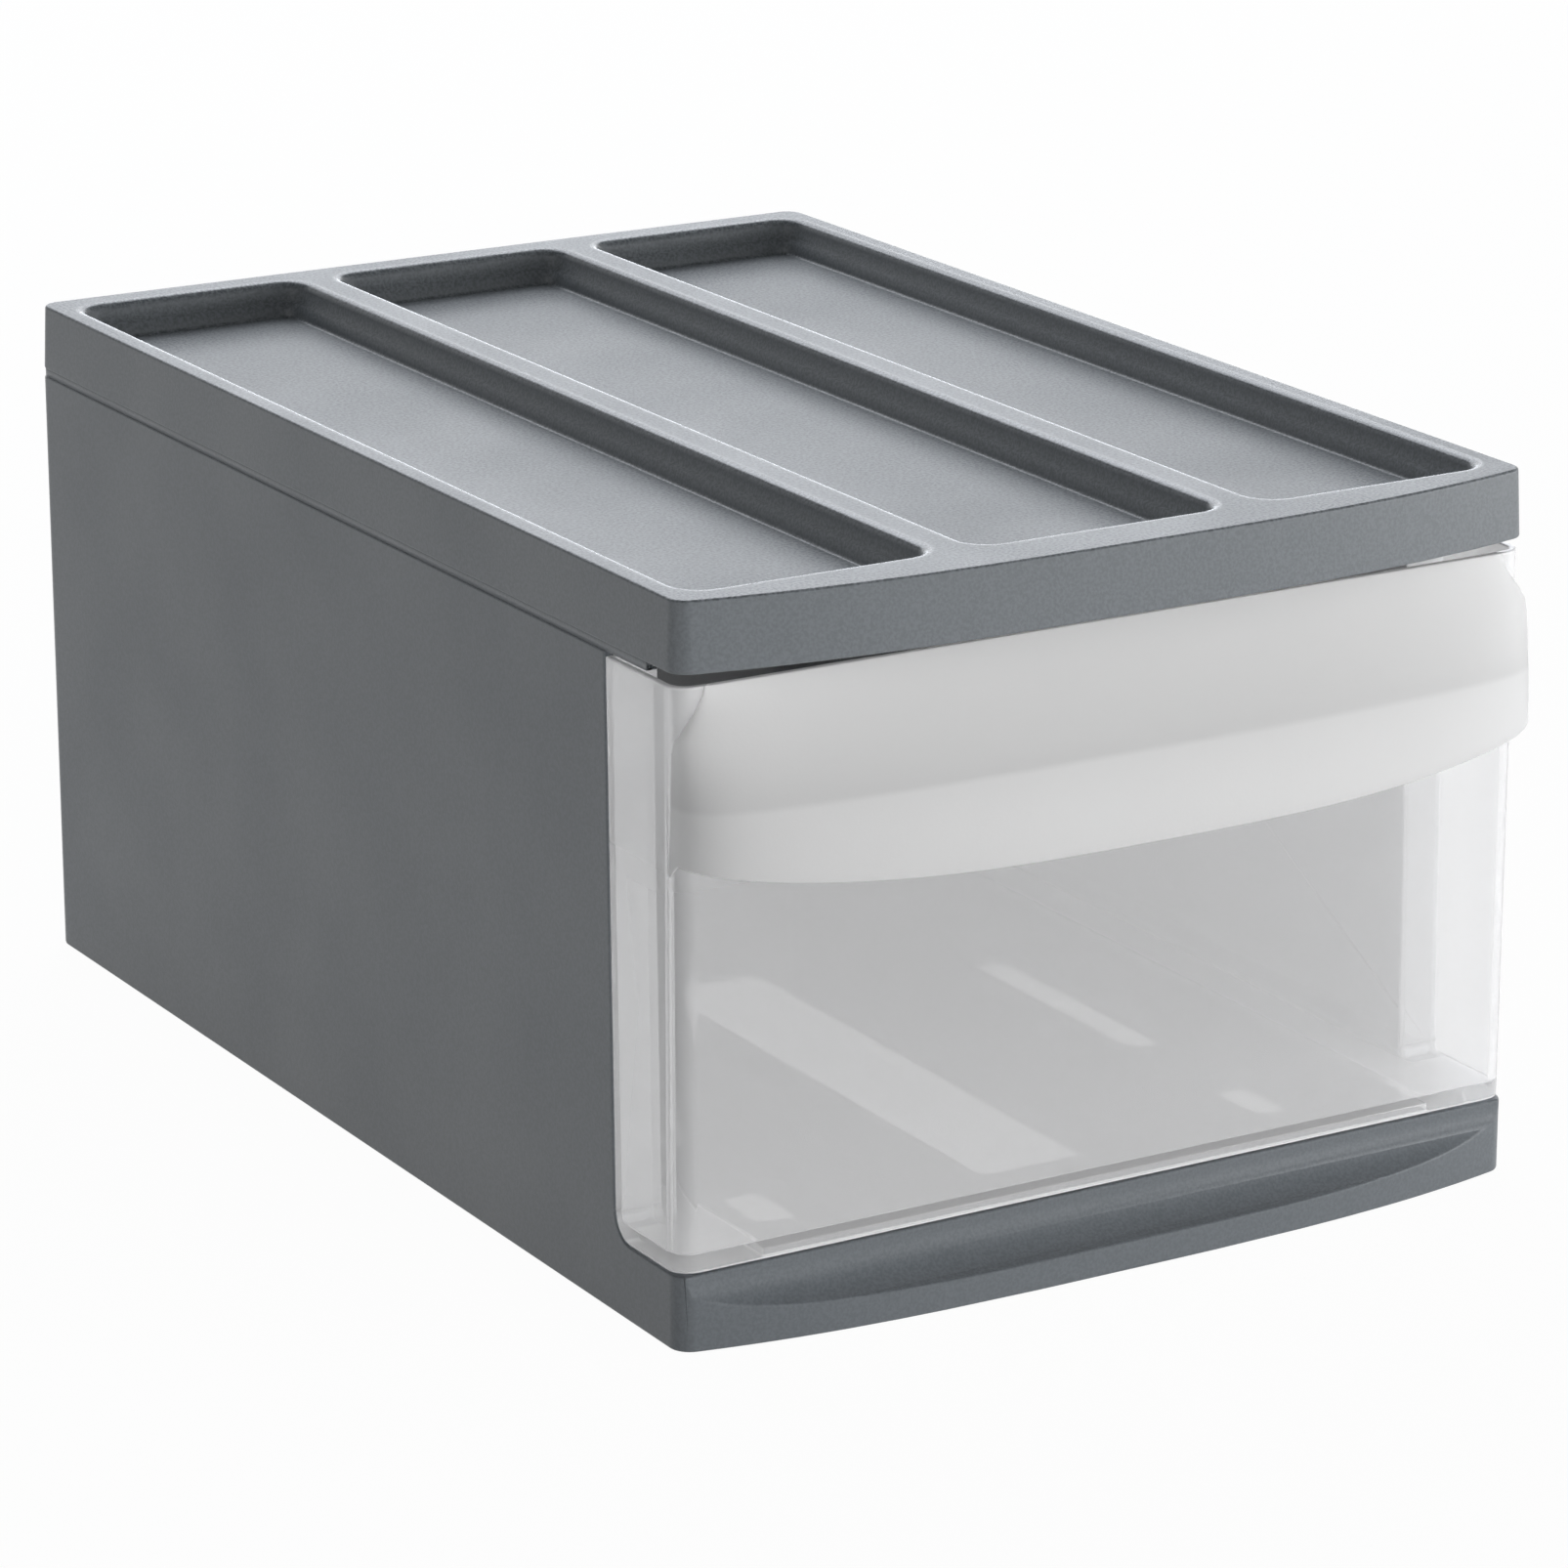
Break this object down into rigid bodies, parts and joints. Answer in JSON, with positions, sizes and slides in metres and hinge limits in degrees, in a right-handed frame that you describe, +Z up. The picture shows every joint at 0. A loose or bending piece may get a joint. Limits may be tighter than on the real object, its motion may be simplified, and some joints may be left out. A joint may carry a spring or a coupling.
{
  "type": "stackable drawer box",
  "caption": "Stackable plastic drawer box: open-fronted housing, push-fit cover with recessed bays, clear pull-out drawer and frosted hood handle over a finger pocket.",
  "frame": {"origin": "bottom centre of the closed box's bounding box, on the surface it stands on", "axes": "+X to the right seen from the front, -Y out of the drawer front, +Z up"},
  "size_m": [0.26, 0.402, 0.198],
  "materials": {
    "housing_plastic": "fine grain",
    "cover_plastic": "fine grain",
    "clear_plastic": "polished, slightly milky",
    "frosted_plastic": "frosted"
  },
  "bodies": {
    "housing": {"body_shell": "housing_plastic", "top_cover": "cover_plastic"},
    "drawer": {"drawer_tray": "clear_plastic", "handle_hood": "frosted_plastic"}
  },
  "joints": [
    {"name": "drawer_slide", "type": "slide", "parent": "housing", "child": "drawer", "axis": [0, -1, 0], "range_m": [0, 0.3]}
  ]
}
